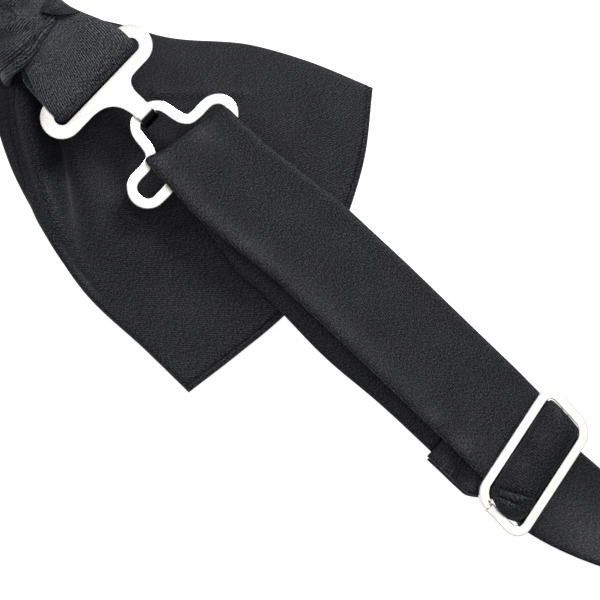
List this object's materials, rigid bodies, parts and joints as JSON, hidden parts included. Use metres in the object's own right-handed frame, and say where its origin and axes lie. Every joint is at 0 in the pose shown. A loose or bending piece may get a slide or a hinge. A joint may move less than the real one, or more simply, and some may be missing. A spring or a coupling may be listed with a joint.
{
  "type": "ready-tied bow tie",
  "caption": "Ready-tied satin bow tie with a hook and eye closure and a slider-adjusted neck band, laid face down.",
  "frame": {"origin": "middle of the knot's front face, which lies on the table", "axes": "+X from the knot along the strap to the clips and slider; +Z out of the back, up as it lies; +Y towards the side round which the neck band lies"},
  "size_m": [0.2134, 0.1047, 0.0292],
  "materials": {
    "satin": "satin weave",
    "lining": "matt felt",
    "thread": "sewing thread",
    "nickel": "bright plate"
  },
  "bodies": {
    "bow": {"knot_wrap": "satin", "waist_core": "satin", "binding_thread": "thread", "rear_blade_right": "satin", "rear_blade_left": "satin", "blade_lining_right": "lining", "blade_lining_left": "lining", "front_loop_right": "satin", "front_loop_left": "satin", "hook_strap": "satin", "band_tack": "thread", "adjusting_loop": "satin", "band_twist": "satin", "neck_band": "satin"},
    "hook": {"hook_clip": "nickel"},
    "eye": {"eye_clip": "nickel"},
    "slider": {"slider_frame": "nickel", "slider_hump": "satin", "sewn_tail": "satin", "tail_tack": "thread"}
  },
  "joints": [
    {"name": "hook_swing", "type": "hinge", "parent": "bow", "child": "hook", "pos_m": [0.0156, 0.0014, 0.0181], "axis": [0, -1, 0], "range_deg": [-3, 9.5]},
    {"name": "eye_swing", "type": "hinge", "parent": "bow", "child": "eye", "pos_m": [0.0393, 0.0021, 0.0165], "axis": [0, 1, 0], "range_deg": [-3.6, 11]},
    {"name": "slider_slide", "type": "slide", "parent": "bow", "child": "slider", "axis": [0.996, 0, -0.089], "range_m": [-0.034, 0.01], "deforming": ["adjusting_loop", "band_twist"]}
  ],
  "couplings": [
    {"joint": "eye_swing", "follows": "hook_swing", "ratio": 1.0426}
  ]
}
